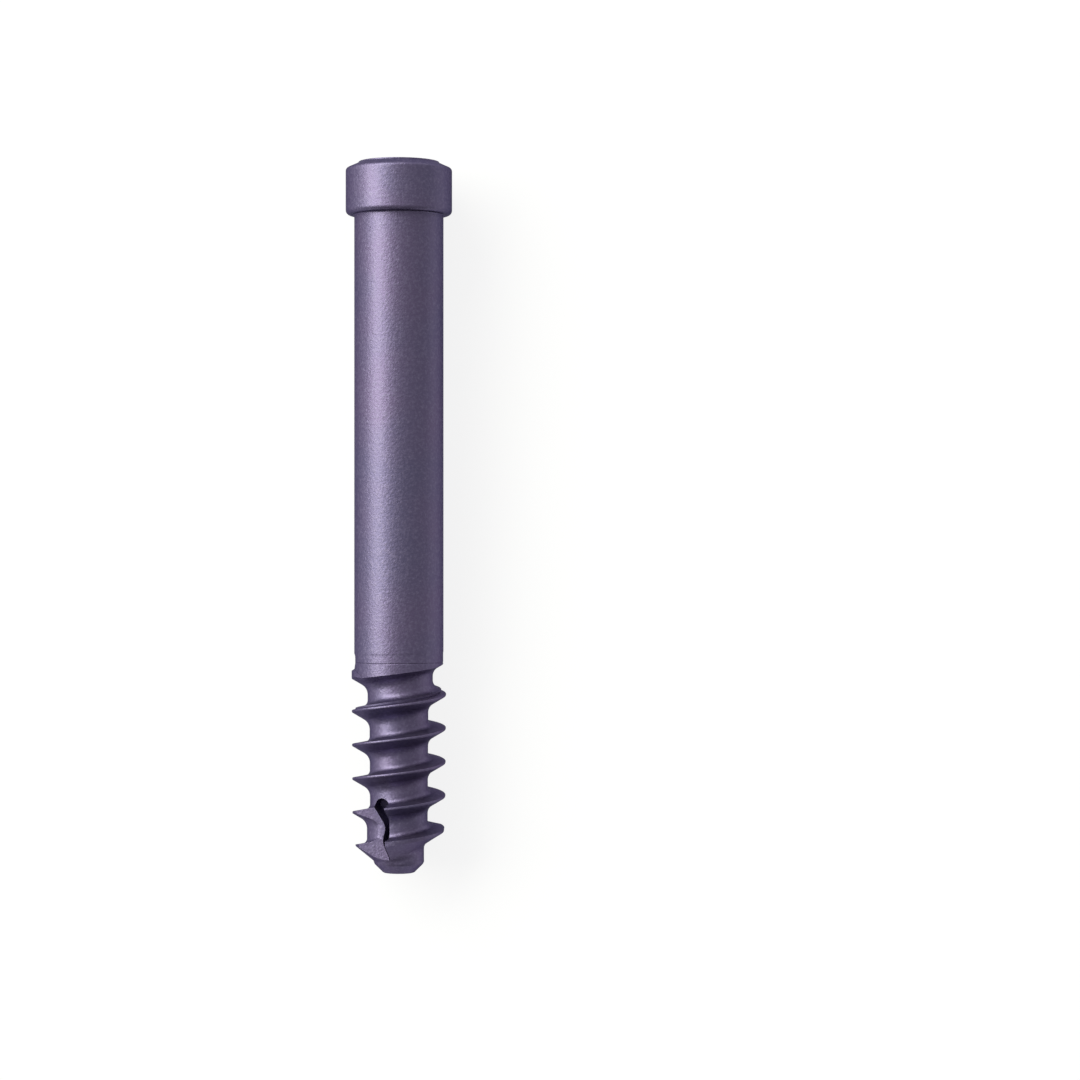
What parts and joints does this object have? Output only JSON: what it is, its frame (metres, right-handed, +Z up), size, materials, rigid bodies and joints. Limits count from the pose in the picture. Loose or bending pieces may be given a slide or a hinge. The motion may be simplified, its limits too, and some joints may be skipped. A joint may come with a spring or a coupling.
{
  "type": "orthopedic bone screw",
  "caption": "Titanium bone screw: cylindrical collar head with a hexagonal socket, plain shaft and a coarse self-tapping thread, lying on its side",
  "frame": {"origin": "on the ground, below the middle of the bounding box", "axes": "+Y runs along the screw from tip to head, +Z is up, +X is to the right when the head is away from the viewer. The screw's own axis leans 0.643 degrees down toward the tip, because it rests on its collar and a thread crest"},
  "size_m": [0.009, 0.0602, 0.009],
  "materials": {
    "anodised_titanium": "matte bead-blasted titanium, anodised purple"
  },
  "bodies": {
    "root": {"bone_screw": "anodised_titanium"}
  },
  "joints": []
}
